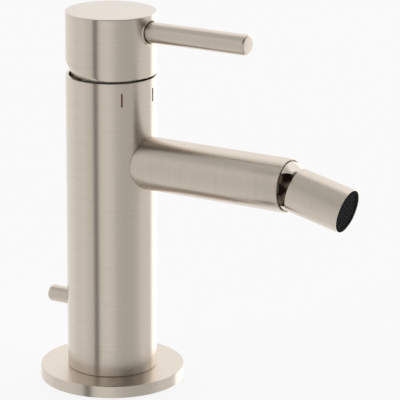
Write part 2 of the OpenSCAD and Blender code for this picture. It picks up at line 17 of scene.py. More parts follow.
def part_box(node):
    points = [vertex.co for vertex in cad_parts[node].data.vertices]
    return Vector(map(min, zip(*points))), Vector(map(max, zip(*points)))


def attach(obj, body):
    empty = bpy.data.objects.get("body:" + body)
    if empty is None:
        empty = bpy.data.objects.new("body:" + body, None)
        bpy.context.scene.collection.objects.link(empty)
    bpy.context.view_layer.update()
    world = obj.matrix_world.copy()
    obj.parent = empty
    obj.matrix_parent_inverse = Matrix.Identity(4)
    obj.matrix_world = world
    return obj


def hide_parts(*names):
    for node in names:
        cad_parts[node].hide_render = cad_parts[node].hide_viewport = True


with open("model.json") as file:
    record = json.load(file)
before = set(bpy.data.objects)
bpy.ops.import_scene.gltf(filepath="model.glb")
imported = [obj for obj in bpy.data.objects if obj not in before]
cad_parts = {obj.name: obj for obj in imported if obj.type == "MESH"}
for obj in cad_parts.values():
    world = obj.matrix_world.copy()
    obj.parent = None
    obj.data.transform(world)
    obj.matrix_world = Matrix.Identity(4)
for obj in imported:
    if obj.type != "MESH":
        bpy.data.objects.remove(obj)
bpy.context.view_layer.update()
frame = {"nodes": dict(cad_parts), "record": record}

# %% [markdown]
# ## Sizes
#
# Outlines are easier to read in millimetres, so everything below is in millimetres until a mesh is
# finished. The sizes could be typed in again, but then they might drift from the solids. So the main
# ones are read from the boxes of the solids, and the joint centres from the record, and a dressed
# piece lies exactly where its solid is.

# %% Sizes from the solids
MM = 0.001


def box_mm(solid_name):
    """Lowest and highest corner of a solid, in millimetres."""
    low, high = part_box(solid_name)
    return low / MM, high / MM


def joint_mm(name):
    """Centre of a joint, in millimetres."""
    joint = next(j for j in frame["record"]["behaviour"]["joints"] if j["name"] == name)
    return Vector(joint["pos_m"]) / MM


body_high = box_mm("mixer_body")[1]
body_r = body_high.x
rim_z = body_high.z
print("column", round(2 * body_r, 2), "mm wide, with its rim at", round(rim_z, 2), "mm")

# %% [markdown]
# ## Finishes
#
# A finish is a small graph of nodes: a pattern is read at each point of the piece, and drives its
# colour, its gloss and a faint bump. The graphs could be drawn by hand in the editor, but written
# down they can be repeated and compared. One function adds a node with its settings and links, and
# another turns the hex code of a colour to linear light.

# %% Small material tools
def colour(code):
    """An sRGB hex code as a linear colour."""
    parts = [int(code[i:i + 2], 16) / 255 for i in (1, 3, 5)]
    return [p / 12.92 if p <= 0.04045 else ((p + 0.055) / 1.055) ** 2.4 for p in parts] + [1]


def node(tree, kind, inputs=None, **settings):
    """Add a node, set its properties, and fill or link its inputs."""
    made = tree.nodes.new(kind)
    for name, value in settings.items():
        setattr(made, name, value)
    for name, value in (inputs or {}).items():
        if isinstance(value, bpy.types.NodeSocket):
            tree.links.new(value, made.inputs[name])
        else:
            made.inputs[name].default_value = value
    return made


def new_material(name):
    """An empty material and its node tree."""
    material = bpy.data.materials.new(name)
    material.use_nodes = True
    material.node_tree.nodes.clear()
    return material, material.node_tree


def set_stops(ramp, stops):
    """Give a colour ramp its stops, as {place: colour}."""
    elements = ramp.color_ramp.elements
    while len(elements) > 1:
        elements.remove(elements[-1])
    for i, (place, value) in enumerate(stops.items()):
        stop = elements[0] if i == 0 else elements.new(place)
        stop.position = place
        stop.color = value
    return ramp


print("mid grey is", round(colour("#808080")[0], 3), "in linear light")

# %% [markdown]
# ## Brushed nickel
#
# The tap is brass with a nickel plating, brushed on the lathe. Brushing leaves fine scratches that
# run round each turned piece. They stretch every reflection along the piece's axis, so bands of light
# stay crisp round the column and fade along it. Scratches in a bump alone would have to be finer than
# a pixel. So an anisotropic metal does the stretching, with its tangent running round the same axis as
# the scratches, and a stretched noise draws the scratches. Level faces and the nozzle are satin, with
# no direction in their gloss. The top of the flange is satin and painted palest, a painted highlight.

# %% Brushed nickel
# Nearly all values of a noise lie between these two.
NOISE_LOW = 0.3
NOISE_HIGH = 0.7
# Real scratches are about 0.05 mm apart. They are drawn 0.3 mm apart, because finer ones wouldn't show.
SCRATCH_PITCH = 0.3
SCRATCH_LENGTH = 30
SCRATCH_DEEP = 0.01
SCRATCH_BUMP = 0.03
QUARTER_TURN = 0.25
# The palest nickel is painted light: it stands for the extra light on the flange's top.
NICKEL_PAINTED_PALE = "#d9cfc2"
NICKEL_LIGHT = "#d2c7ba"
NICKEL_DARK = "#cac0b3"
NOZZLE_TILT = 13.4


def brushed_nickel(name, axis, turn=(0, 0, 0), brushed=0.75, gloss=(0.24, 0.27),
                   light=NICKEL_LIGHT, dark=NICKEL_DARK):
    """Warm grey metal, scratched round the given axis, which shows bands of light along that axis."""
    material, tree = new_material(name)
    across, along = 1 / (SCRATCH_LENGTH * MM), 1 / (SCRATCH_PITCH * MM)
    scale = [along if letter == axis else across for letter in "XYZ"]
    place = node(tree, "ShaderNodeTexCoord")
    stretch = node(tree, "ShaderNodeMapping", {
        "Vector": place.outputs["Object"], "Rotation": turn, "Scale": scale})
    scratches = node(tree, "ShaderNodeTexNoise", {
        "Vector": stretch.outputs["Vector"], "Scale": 1.0, "Detail": 4.0, "Roughness": 0.65})
    tint = set_stops(node(tree, "ShaderNodeValToRGB", {"Fac": scratches.outputs["Fac"]}),
                     {NOISE_LOW: colour(dark), NOISE_HIGH: colour(light)})
    polish = node(tree, "ShaderNodeMapRange", {
        "Value": scratches.outputs["Fac"], "From Min": NOISE_LOW, "From Max": NOISE_HIGH,
        "To Min": gloss[0], "To Max": gloss[1]})
    bump = node(tree, "ShaderNodeBump", {
        "Height": scratches.outputs["Fac"], "Strength": SCRATCH_BUMP, "Distance": SCRATCH_DEEP * MM})
    round_axis = node(tree, "ShaderNodeTangent", direction_type="RADIAL", axis=axis)
    metal = node(tree, "ShaderNodeBsdfPrincipled", {
        "Base Color": tint.outputs["Color"], "Metallic": 1.0, "Roughness": polish.outputs["Result"],
        "Anisotropic": brushed, "Anisotropic Rotation": QUARTER_TURN, "Normal": bump.outputs["Normal"],
        "Tangent": round_axis.outputs["Tangent"]})
    node(tree, "ShaderNodeOutputMaterial", {"Surface": metal.outputs["BSDF"]})
    return material


# Column and handle: scratches run round the upright axis.
nickel_upright = brushed_nickel("brushed_nickel_upright", "Z")
# Spout, lever and knob: the same brushing, round the axis of the spout.
nickel_level = brushed_nickel("brushed_nickel_level", "Y")
# Nozzle: a finer satin, with scratches round its own axis.
nickel_nozzle = brushed_nickel("brushed_nickel_nozzle", "Y", turn=(math.radians(-NOZZLE_TILT), 0, 0),
                               brushed=0.0, gloss=(0.17, 0.2))
# Level faces: the same satin, with an even sheen.
nickel_face = brushed_nickel("satin_nickel_face", "Z", brushed=0.0, gloss=(0.17, 0.21))
# Top of the flange: the dullest, and painted palest, a painted highlight for the light that falls on the
# level top.
nickel_flange_painted_light = brushed_nickel("satin_nickel_flange", "Z", brushed=0.0, gloss=(0.27, 0.31),
                               light=NICKEL_PAINTED_PALE, dark=NICKEL_LIGHT)
nickels = [nickel_upright, nickel_level, nickel_nozzle, nickel_face, nickel_flange_painted_light]
print("nickel finishes:", ", ".join(nickel.name for nickel in nickels))

# %% [markdown]
# ## Other finishes
#
# The ball joint is chrome, and inside the tap there are brass, copper, steel, ceramic, plastic and
# rubber. None of them is brushed, so one recipe serves them all: two near colours, a gloss and a bump
# that follow one fine noise. A graph for each would say the same thing many times, so a table gives
# what differs. The grain is its size in millimetres.

# %% Other finishes
GRAIN_DEEP = 0.05
SMOOTHEST = 0.02


def plain_finish(name, light, dark, grain, roughness, metallic=0.0, bump=0.05, spread=0.08, shine=0.5):
    """A material with a fine grain: two near colours, a little change in gloss and a faint bump."""
    material, tree = new_material(name)
    place = node(tree, "ShaderNodeTexCoord")
    texture = node(tree, "ShaderNodeTexNoise", {
        "Vector": place.outputs["Object"], "Scale": 1 / (grain * MM), "Detail": 3.0, "Roughness": 0.6})
    tint = set_stops(node(tree, "ShaderNodeValToRGB", {"Fac": texture.outputs["Fac"]}),
                     {NOISE_LOW: colour(dark), NOISE_HIGH: colour(light)})
    gloss = node(tree, "ShaderNodeMapRange", {
        "Value": texture.outputs["Fac"], "From Min": NOISE_LOW, "From Max": NOISE_HIGH,
        "To Min": max(roughness - spread, SMOOTHEST), "To Max": roughness + spread})
    relief = node(tree, "ShaderNodeBump", {
        "Height": texture.outputs["Fac"], "Strength": bump, "Distance": GRAIN_DEEP * MM})
    surface = node(tree, "ShaderNodeBsdfPrincipled", {
        "Base Color": tint.outputs["Color"], "Metallic": metallic, "Roughness": gloss.outputs["Result"],
        "Specular IOR Level": shine, "Normal": relief.outputs["Normal"]})
    node(tree, "ShaderNodeOutputMaterial", {"Surface": surface.outputs["BSDF"]})
    return material


LOOKS = {
    # Polished chrome plating: a mirror with hardly any haze, with a warm tint painted in, a painted
    # reflection of the nickel next to it.
    "polished_chrome": dict(light="#d8cec3", dark="#d0c6bb", grain=3, roughness=0.06, metallic=1,
                            bump=0.004, spread=0.015),
    # Turned brass, which tarnishes to a dull brown where no plating reaches.
    "raw_brass": dict(light="#93836e", dark="#7c6d5a", grain=0.6, roughness=0.45, metallic=1, bump=0.08),
    # Drawn copper tube, with a faint oxide bloom.
    "copper_tube": dict(light="#c98b62", dark="#a86a48", grain=4, roughness=0.32, metallic=1, bump=0.05),
    # Stainless steel, machined, with a fine even grain.
    "stainless_steel": dict(light="#b9bbbd", dark="#a4a6a8", grain=0.4, roughness=0.3, metallic=1,
                            bump=0.06),
    # Lapped alumina ceramic, off-white and smooth.
    "ceramic_disc": dict(light="#efe9dd", dark="#e6dfd0", grain=0.8, roughness=0.3, bump=0.01),
    # Moulded acetal, white with a soft gloss.
    "white_plastic": dict(light="#e8e8e3", dark="#deded8", grain=0.5, roughness=0.45, bump=0.06),
    # Moulded black plastic of the aerator's ring, quite matt.
    "black_plastic": dict(light="#0d0d0e", dark="#070708", grain=0.4, roughness=0.6, bump=0.08, shine=0.02),
    # The same plastic in the thin bars of the screen, painted a little lighter as painted light, for the
    # light that the thin bars catch.
    "black_plastic_screen": dict(light="#18181a", dark="#101012", grain=0.4, roughness=0.5, bump=0.08,
                                 shine=0.08),
    # Moulded nitrile rubber, black and matt.
    "black_rubber": dict(light="#2a2a2a", dark="#1c1c1c", grain=0.3, roughness=0.7, bump=0.15),
    # Enamel fill of the marks, worn matt, so that they stay dark even at a slant.
    "red_enamel": dict(light="#774340", dark="#673836", grain=0.3, roughness=0.5, bump=0.02, shine=0.2),
    "blue_enamel": dict(light="#1f2642", dark="#171d35", grain=0.3, roughness=0.6, bump=0.02, shine=0.05),
}
finishes = {name: plain_finish(name, **look) for name, look in LOOKS.items()}
finishes["brushed_nickel"] = nickel_upright
for part in frame["record"]["subparts"]:
    solid = frame["nodes"][part["node"]]
    solid.data.materials.clear()
    solid.data.materials.append(finishes[part["material_slot"]])
print("painted", len(frame["nodes"]), "solids from", len(finishes), "finishes")

# %% [markdown]
# ## Turning
#
# A tap is almost all lathe work. Ready-made cylinders could be stacked, but the steps between them
# would have to be mended by hand. So each piece is one outline, a list of (radius, height) points, and
# it is spun round the upright axis as on a lathe. Real edges are never quite sharp, and a small bevel
# gives each edge its thin line of light. A test picks the edges by their height and radius.

# %% The lathe
WIDE_STEPS = 192
TUBE_STEPS = 144
ROD_STEPS = 96
SAME_POINT = 1e-4
SHARP = math.radians(30)
NEAR = 0.1


def lathe(outline, steps=TUBE_STEPS):
    """Spin an outline round the upright axis. It is closed first, unless it starts and ends on the axis."""
    bm = bmesh.new()
    verts = [bm.verts.new((r, 0, z)) for r, z in outline]
    pairs = list(zip(verts, verts[1:]))
    if outline[0][0] > 0:
        pairs.append((verts[-1], verts[0]))
    edges = [bm.edges.new(pair) for pair in pairs]
    bmesh.ops.spin(bm, geom=verts + edges, cent=(0, 0, 0), axis=(0, 0, 1),
                   angle=math.tau, steps=steps, use_merge=True)
    bmesh.ops.remove_doubles(bm, verts=bm.verts, dist=SAME_POINT)
    bmesh.ops.recalc_face_normals(bm, faces=bm.faces)
    return bm


def edges_in(low=-math.inf, high=math.inf, outside=-1):
    """A test for edges that lie between two heights and outside a radius."""
    return lambda edge: all(low < v.co.z < high and v.co.xy.length > outside for v in edge.verts)


def soften(bm, width, segments=2, keep=edges_in()):
    """Round the sharp edges that pass a test, over a width in millimetres."""
    sharp = [e for e in bm.edges
             if len(e.link_faces) == 2 and e.calc_face_angle(0) > SHARP and keep(e)]
    bmesh.ops.bevel(bm, geom=sharp, offset=width, offset_type="OFFSET", segments=segments,
                    profile=0.5, affect="EDGES", material=-1, clamp_overlap=True)
    return bm


print("the widest pieces have a face every", round(math.tau * body_r / WIDE_STEPS, 2), "mm")

# %% [markdown]
# ## From mesh to piece
#
# A turned mesh is moved to its place, scaled to metres and made an object at the origin. It is then
# painted, shaded, and hung on the body that it moves with, and the solid that it stands for is hidden.
# With plain smooth shading, the small round edges would bend the light on the long tubes next to them.
# So the shading is weighed by the size of the faces, and level faces are shaded flat.

# %% From mesh to piece
UPRIGHT = Matrix.Identity(4)
LEVEL = 0.999
CREASE = math.radians(35)


def as_object(bm, name, place=UPRIGHT):
    """Turn a mesh made in millimetres into an object at the origin, in metres."""
    bm.transform(Matrix.Scale(MM, 4) @ place)
    mesh = bpy.data.meshes.new(name)
    bm.to_mesh(mesh)
    bm.free()
    piece = bpy.data.objects.new(name, mesh)
    bpy.context.scene.collection.objects.link(piece)
    return piece


def settle(piece):
    """Write what the piece's modifiers make into its mesh."""
    bpy.context.view_layer.update()
    graph = bpy.context.evaluated_depsgraph_get()
    result = bpy.data.meshes.new_from_object(piece.evaluated_get(graph))
    piece.modifiers.clear()
    old = piece.data
    piece.data = result
    bpy.data.meshes.remove(old)
    result.name = piece.name


def dress(piece, body, nodes, material, flat=None):
    """Paint a piece, with its level faces apart, shade it smoothly elsewhere, and hang it on its body."""
    piece.data.materials.clear()
    piece.data.materials.append(material)
    if flat:
        piece.data.materials.append(flat)
    for face in piece.data.polygons:
        level_face = bool(flat) and abs(face.normal.z) > LEVEL
        face.use_smooth = not level_face
        face.material_index = int(level_face)
    piece.data.set_sharp_from_angle(angle=CREASE)
    even = piece.modifiers.new("even_shading", "WEIGHTED_NORMAL")
    even.keep_sharp = True
    settle(piece)
    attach(piece, body)
    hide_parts(*nodes)
    print(piece.name, "has", len(piece.data.polygons), "faces and stands for", ", ".join(nodes))


print("a face counts as level within", round(math.degrees(math.acos(LEVEL)), 1), "degrees")

# %% [markdown]
# ## Flange
#
# The flange is the flat ring that the tap stands on, with a groove for its gasket below. A disc with
# two cuts would do, but a spun section gives the ring, its hole and its groove at once. Its side is
# brushed, and its top is satin.

# %% Flange
FIT = 0.03
SPIGOT_R = 19.06
GASKET_W = 7
FLANGE_EDGE = 0.4
flange_high = box_mm("base_flange")[1]
flange_r = flange_high.x
flange_t = flange_high.z
gasket_high = box_mm("base_gasket")[1]
groove_in = gasket_high.x - GASKET_W - FIT
groove_out = gasket_high.x + FIT
flange = lathe([(SPIGOT_R, 0), (groove_in, 0), (groove_in, gasket_high.z), (groove_out, gasket_high.z),
                (groove_out, 0), (flange_r, 0), (flange_r, flange_t), (SPIGOT_R, flange_t)], WIDE_STEPS)
soften(flange, FLANGE_EDGE, keep=edges_in(low=NEAR, outside=groove_out + NEAR))
# The flange's top takes the palest nickel, a painted highlight.
dress(as_object(flange, "flange"), "root", ["base_flange"], nickel_upright, nickel_flange_painted_light)

# %% [markdown]
# ## Column
#
# The column is turned from one bar: a spigot in the flange, a hollow foot, a solid block under the
# cartridge and a thin rim at the top. The outline goes round all of it, inside and out, so that the
# rim and the foot have a true thickness when the handle is lifted. The foot is rounded a little, which
# draws the thin dark line between column and flange.

# %% Column
HOLLOW_R = 17
BLOCK_Z = 94.05
PLUG_TOP = 13
RIM_WALL = 1.5
NUT_FIT = 0.05
NUT_CLEAR = 0.3
SEAT_FIT = 0.08
RIM_EDGE = 0.25
FOOT_EDGE = 0.4
nut_low, nut_high = box_mm("cartridge_nut")
base_low, base_high = box_mm("cartridge_base")
plug_r = box_mm("foot_plug")[1].x + FIT
spigot_r = SPIGOT_R - FIT
rim_in = body_r - RIM_WALL
bore_r = nut_high.x + NUT_FIT
bore_end = nut_low.z - NUT_CLEAR
seat_r = base_high.x + SEAT_FIT
column = lathe([(0, BLOCK_Z), (HOLLOW_R, BLOCK_Z), (HOLLOW_R, PLUG_TOP), (plug_r, PLUG_TOP), (plug_r, 0),
                (spigot_r, 0), (spigot_r, flange_t), (body_r, flange_t), (body_r, rim_z), (rim_in, rim_z),
                (rim_in, nut_high.z), (bore_r, nut_high.z), (bore_r, bore_end), (seat_r, bore_end),
                (seat_r, base_low.z), (0, base_low.z)], WIDE_STEPS)
soften(column, RIM_EDGE, keep=edges_in(low=rim_z - NEAR))
soften(column, FOOT_EDGE, segments=3, keep=edges_in(high=flange_t + NEAR, outside=body_r - NEAR))
column_piece = as_object(column, "column")
print("column turned with", len(column_piece.data.polygons), "faces")

# %% [markdown]
# ## Slot
#
# The neck of the pop-up knob rises in an upright slot at the back of the column. A miller would cut it,
# and so does this step: a circle is drawn out by the lift, thickened to a cutter and taken out of the
# column with a boolean. Pulling the column's own faces apart would spoil its even rings.

# %% Slot
SLOT_R = 2.8
SLOT_STEPS = 48
LIFT = 18
knob_low, knob_high = box_mm("lift_knob")
knob_z = (knob_low.z + knob_high.z) / 2
ALONG_KNOB = Matrix.Translation((0, 0, knob_z)) @ Matrix.Rotation(math.radians(-90), 4, "X")


def combine(piece, other, operation="DIFFERENCE"):
    """Take another mesh out of the piece, or join it on with UNION, and throw the other away."""
    both = piece.modifiers.new("both", "BOOLEAN")
    both.operation = operation
    both.solver = "EXACT"
    both.object = other
    settle(piece)
    bpy.data.objects.remove(other)


slot = bmesh.new()
bmesh.ops.create_circle(slot, cap_ends=True, radius=SLOT_R, segments=SLOT_STEPS)
upper_half = [v for v in slot.verts if v.co.y < -SAME_POINT]
bmesh.ops.translate(slot, verts=upper_half, vec=(0, -LIFT, 0))
pulled = bmesh.ops.extrude_face_region(slot, geom=slot.faces[:])["geom"]
far_end = [v for v in pulled if isinstance(v, bmesh.types.BMVert)]
bmesh.ops.translate(slot, verts=far_end, vec=(0, 0, 2 * body_r))
bmesh.ops.recalc_face_normals(slot, faces=slot.faces)
combine(column_piece, as_object(slot, "slot_cutter", ALONG_KNOB))
dress(column_piece, "root", ["mixer_body"], nickel_upright, nickel_face)

# %% [markdown]
# ## Marks
#
# A red and a blue line near the rim tell hot from cold. They could be painted in the column's finish,
# but then they would be only as sharp as the texture. So each is a short inlay of enamel, spun over the
# few degrees that it covers, and it stands a hair proud so that it never flickers against the metal.

# %% Red and blue marks
# Each mark: its solid, its finish, its angle from the front in degrees, and its width.
MARKS = {"red_mark": ("hot_mark", "red_enamel", -45, 0.8), "blue_mark": ("cold_mark", "blue_enamel", 6, 1.1)}
MARK_PROUD = 0.02
MARK_DEEP = 0.5
MARK_STEPS = 6
for mark_name, (solid_name, enamel, angle, width) in MARKS.items():
    mark_low, mark_high = box_mm(solid_name)
    sweep = width / body_r
    start = Matrix.Rotation(math.radians(angle) - sweep / 2, 3, "Z")
    corners = [(body_r - MARK_DEEP, mark_low.z), (body_r + MARK_PROUD, mark_low.z),
               (body_r + MARK_PROUD, mark_high.z), (body_r - MARK_DEEP, mark_high.z)]
    mark = bmesh.new()
    face = mark.faces.new([mark.verts.new((0, -r, z)) for r, z in corners])
    bmesh.ops.rotate(mark, verts=mark.verts, matrix=start)
    bmesh.ops.spin(mark, geom=[face] + face.verts[:] + face.edges[:], cent=(0, 0, 0), axis=(0, 0, 1),
                   angle=sweep, steps=MARK_STEPS)
    bmesh.ops.recalc_face_normals(mark, faces=mark.faces)
    dress(as_object(mark, mark_name), "root", [solid_name], finishes[enamel])

# %% [markdown]
# ## Handle
#
# The handle is a drum as wide as the column. Its back is rounded off below, so that it can dip into the
# rim as the lever is lifted. A boolean with a large ball would leave long thin faces there. So the drum
# is turned with many rings in its skirt, and each point that lies outside the ball is drawn in to it.

# %% Handle drum
RELIEF_H = 12.5
RELIEF_R = 23.67
RELIEF_FRONT = 2.3
CAP_HOLLOW_R = 16.3
CAP_HOLLOW_H = 13.5
CAP_SKIN = 1
CAP_ROUND = 0.55
SKIRT_EDGE = 0.3
SKIRT_RINGS = 30
cap_low, cap_high = box_mm("handle_cap")
cap_roof = cap_low.z + CAP_HOLLOW_H
skin_r = CAP_HOLLOW_R + CAP_SKIN
relief_centre = Vector((0, -RELIEF_FRONT, cap_low.z + RELIEF_H))
skirt = [(body_r, cap_low.z + RELIEF_H * i / SKIRT_RINGS) for i in range(SKIRT_RINGS + 1)]
cap = lathe([(0, cap_roof), (CAP_HOLLOW_R, cap_roof), (CAP_HOLLOW_R, cap_low.z)] + skirt
            + [(body_r, cap_high.z), (0, cap_high.z)], WIDE_STEPS)
for vert in cap.verts:
    if vert.co.xy.length > skin_r and vert.co.z < relief_centre.z:
        reach = math.sqrt(RELIEF_R ** 2 - (vert.co.z - relief_centre.z) ** 2)
        away = vert.co.xy.normalized()
        inward = relief_centre.xy.dot(away)
        limit = inward + math.sqrt(inward ** 2 - relief_centre.xy.length_squared + reach ** 2)
        vert.co.xy = away * min(body_r, limit)
soften(cap, SKIRT_EDGE, keep=edges_in(high=relief_centre.z, outside=skin_r))
soften(cap, CAP_ROUND, segments=4, keep=edges_in(low=cap_high.z - NEAR, outside=skin_r))
cap_piece = as_object(cap, "handle")
print("handle turned with", len(cap_piece.data.polygons), "faces")

# %% [markdown]
# ## Lever hole
#
# A thin bead stands round the hole for the lever. A torus would touch the drum only at two points,
# because the drum is round. So the bead is turned flat, bent to the round of the drum and joined on,
# and then the hole is drilled through both.

# %% Lever hole
LEVER_GAP = 0.4
LEVER_SEAT = 19
BEAD_W = 1.0
BEAD_H = 0.5
BEAD_LAP = 0.2
BEAD_ROOT = 1
BEAD_STEPS = 12
DRILL_PAST = 2
lever_low, lever_high = box_mm("lever_bar")
lever_r = lever_high.x
lever_z = (lever_low.z + lever_high.z) / 2
ALONG_LEVER = Matrix.Translation((0, 0, lever_z)) @ Matrix.Rotation(math.radians(90), 4, "X")
hole_r = lever_r + LEVER_GAP
drill_end = body_r + DRILL_PAST
bead_arch = [(hole_r + BEAD_W * (1 - math.cos(a)) / 2, body_r + BEAD_H * math.sin(a))
             for a in (math.pi * i / BEAD_STEPS for i in range(BEAD_STEPS + 1))]
bead = lathe([(hole_r - BEAD_LAP, body_r - BEAD_ROOT)] + bead_arch
             + [(hole_r + BEAD_W, body_r - BEAD_ROOT)], ROD_STEPS)
for vert in bead.verts:
    vert.co.z -= body_r - math.sqrt(body_r ** 2 - vert.co.x ** 2)
combine(cap_piece, as_object(bead, "bead", ALONG_LEVER), "UNION")
hole = lathe([(0, LEVER_SEAT), (hole_r, LEVER_SEAT), (hole_r, drill_end), (0, drill_end)], ROD_STEPS)
combine(cap_piece, as_object(hole, "hole_cutter", ALONG_LEVER))
dress(cap_piece, "handle", ["handle_cap"], nickel_upright, nickel_face)

# %% [markdown]
# ## Lever
#
# The lever is a straight bar with a thinner shank, which sits in the handle. It is turned like the rest,
# lying along the spout's direction. Its end is rounded wider than a plain deburred edge, over one
# millimetre, because that is what gives the dark crescent at the end of the bar.

# %% Lever
LEVER_ROUND = 1.0
SHANK_R = 4
SHANK_LEN = 8
shank_start = LEVER_SEAT - SHANK_LEN
lever_end = -lever_low.y
lever = lathe([(0, shank_start), (SHANK_R, shank_start), (SHANK_R, LEVER_SEAT), (lever_r, LEVER_SEAT),
               (lever_r, lever_end), (0, lever_end)], ROD_STEPS)
soften(lever, LEVER_ROUND, segments=5, keep=edges_in(low=lever_end - NEAR))
dress(as_object(lever, "lever", ALONG_LEVER), "handle", ["lever_bar"], nickel_level)

# %% [markdown]
# ## Spout
#
# The spout is a straight tube whose inner end is saddled to the column, and whose outer end has a thin
# lip round a dark seam. The saddle could be cut with a boolean. It is simpler to move the points at that
# end on to the column's round, because each of them only has to slide along the tube.

# %% Spout
SPOUT_BORE = 8
SLEEVE_R = 10.53
SLEEVE_START = -10.38
LIP = 0.55
SEAM = 0.8
LIP_ROUND = 0.2
SADDLE_ROUND = 0.35
ball = joint_mm("nozzle_pitch")
ALONG_SPOUT = Matrix.Translation(ball) @ Matrix.Rotation(math.radians(90), 4, "X")
spout_low, spout_high = box_mm("spout_tube")
spout_r = spout_high.x
lip_r = spout_r - LIP
spout_end = ball.y - spout_low.y
seam_end = spout_end - SEAM
saddle = ball.y + body_r
spout = lathe([(spout_r, saddle), (spout_r, spout_end), (lip_r, spout_end), (lip_r, seam_end),
               (SLEEVE_R, seam_end), (SLEEVE_R, SLEEVE_START), (SPOUT_BORE, SLEEVE_START),
               (SPOUT_BORE, saddle)])
for vert in spout.verts:
    if vert.co.z < saddle + NEAR:
        vert.co.z = ball.y + math.sqrt(body_r ** 2 - vert.co.x ** 2)
soften(spout, LIP_ROUND, segments=3, keep=edges_in(low=spout_end - NEAR, outside=spout_r - NEAR))
soften(spout, SADDLE_ROUND, keep=edges_in(high=saddle + NEAR, outside=spout_r - NEAR))
dress(as_object(spout, "spout", ALONG_SPOUT), "root", ["spout_tube"], nickel_level)

# %% [markdown]
# ## Chrome dome
#
# Out of the spout comes the chrome dome that holds the ball. Half a ready-made sphere has its poles in
# the wrong place and no thickness. Two arcs in an outline, one for the outside and one for the socket,
# give both at once. The arcs are centred on the ball, so the nozzle can slide over the dome.

# %% Chrome dome
DOME_R = 11.5
OPEN_R = 7.6
SOCKET_R = 9.3
SLEEVE_BACK = -7.88
DOME_EDGE = 0.15
ARC_STEPS = 24


def arc(radius, start, end, steps=ARC_STEPS, centre=(0, 0)):
    """Points on a circle in the outline's plane, from one angle to another, 90 being the axis."""
    angles = [math.radians(start + (end - start) * i / steps) for i in range(steps + 1)]
    return [(centre[0] + radius * math.cos(a), centre[1] + radius * math.sin(a)) for a in angles]


def angle_at(width, radius):
    """The angle at which a circle round the ball's centre is that far from the axis."""
    return math.degrees(math.acos(width / radius))


sleeve_r = SLEEVE_R - FIT
dome_start = math.degrees(math.asin(seam_end / DOME_R))
dome = lathe([(SOCKET_R, SLEEVE_BACK), (sleeve_r, SLEEVE_BACK), (sleeve_r, seam_end)]
             + arc(DOME_R, dome_start, angle_at(OPEN_R, DOME_R))
             + arc(SOCKET_R, angle_at(OPEN_R, SOCKET_R), 0))
soften(dome, DOME_EDGE)
# The chrome's warm tint is a painted reflection of the nickel round it.
chrome = finishes["polished_chrome"]
dress(as_object(dome, "dome", ALONG_SPOUT), "root", ["ball_retainer"], chrome)

# %% [markdown]
# ## Swivel ball
#
# The ball sits in the dome and carries the nozzle on a short neck, and the water runs through a bore in
# both. One outline with a long arc makes ball, neck and bore together, turned along the nozzle's own
# axis, which points down a little from the spout's.

# %% Swivel ball
BALL_R = 8
BALL_STEPS = 48
NECK_R = 4
NECK_BORE = 2.8
WEB_END = 18
ALONG_NOZZLE = Matrix.Translation(ball) @ Matrix.Rotation(math.radians(90 + NOZZLE_TILT), 4, "X")
swivel = lathe(arc(BALL_R, -angle_at(NECK_BORE, BALL_R), angle_at(NECK_R, BALL_R), BALL_STEPS)
               + [(NECK_R, WEB_END), (NECK_BORE, WEB_END)])
dress(as_object(swivel, "swivel", ALONG_NOZZLE), "nozzle", ["swivel_ball"], chrome)

# %% [markdown]
# ## Nozzle
#
# The nozzle is a short tube with a hollow cup at the back that slides over the dome. A solid with a ball
# cut out would do, but an arc in the outline leaves clean rings at the cup's thin edge, which can then be
# rounded like any other edge.

# %% Nozzle
NOZZLE_LEN = 32.1
NOZZLE_LIP = 0.4
CUP_R = 11.75
CHAMBER_R = 9.3
RING_START = 31
MOUTH_EDGE = 0.12
BACK_ROUND = 0.35
nozzle_r = box_mm("nozzle_shell")[1].x
mouth_r = nozzle_r - NOZZLE_LIP
neck_hole = NECK_R + FIT
cup_edge = math.sqrt(CUP_R ** 2 - nozzle_r ** 2)
shell = lathe([(nozzle_r, NOZZLE_LEN), (mouth_r, NOZZLE_LEN), (mouth_r, RING_START), (CHAMBER_R, RING_START),
               (CHAMBER_R, WEB_END), (neck_hole, WEB_END)]
              + arc(CUP_R, angle_at(neck_hole, CUP_R), angle_at(nozzle_r, CUP_R)))
soften(shell, MOUTH_EDGE, keep=edges_in(low=cup_edge + NEAR))
soften(shell, BACK_ROUND, segments=3, keep=edges_in(high=cup_edge + NEAR, outside=nozzle_r - NEAR))
dress(as_object(shell, "nozzle", ALONG_NOZZLE), "nozzle", ["nozzle_shell"], nickel_nozzle)

# %% [markdown]
# ## Aerator ring
#
# The nozzle's mouth holds a black aerator, which mixes air into the water. Its ring is moulded plastic,
# with a pocket for a screen and a lip over the screen's edge. A plain tube would leave the screen no
# seat, so pocket, lip and shelf are all in one outline.

# %% Aerator ring
SCREEN_R = 8.8
SCREEN_TOP = 31.75
SCREEN_RIM = 0.6
SCREEN_FIT = 0.01
RING_FIT = 0.05
RING_END = 31.9
RING_BACK = 19.5
RING_SHELF = 20.7
RING_BORE = 7.5
RING_THROAT = 6.5
RING_EDGE = 0.05
ring_in = CHAMBER_R - RING_FIT
ring_out = mouth_r - RING_FIT
cover_r = SCREEN_R - SCREEN_RIM
pocket_r = SCREEN_R + SCREEN_FIT
pocket_top = SCREEN_TOP + SCREEN_FIT
ring = lathe([(ring_in, RING_BACK), (ring_in, RING_START), (ring_out, RING_START), (ring_out, RING_END),
              (cover_r, RING_END), (cover_r, pocket_top), (pocket_r, pocket_top), (pocket_r, RING_START),
              (RING_BORE, RING_START), (RING_BORE, RING_SHELF), (RING_THROAT, RING_SHELF),
              (RING_THROAT, RING_BACK)])
soften(ring, RING_EDGE)
dress(as_object(ring, "aerator", ALONG_NOZZLE), "nozzle", ["aerator_housing"],
      finishes["black_plastic"])

# %% [markdown]
# ## Aerator screen
#
# A fine square grid in the mouth breaks the water into drops. It could be a pattern on a disc, but then
# light would not fall through it. So it is made of real bars, in two layers that cross, and the ring's
# lip covers their ends.

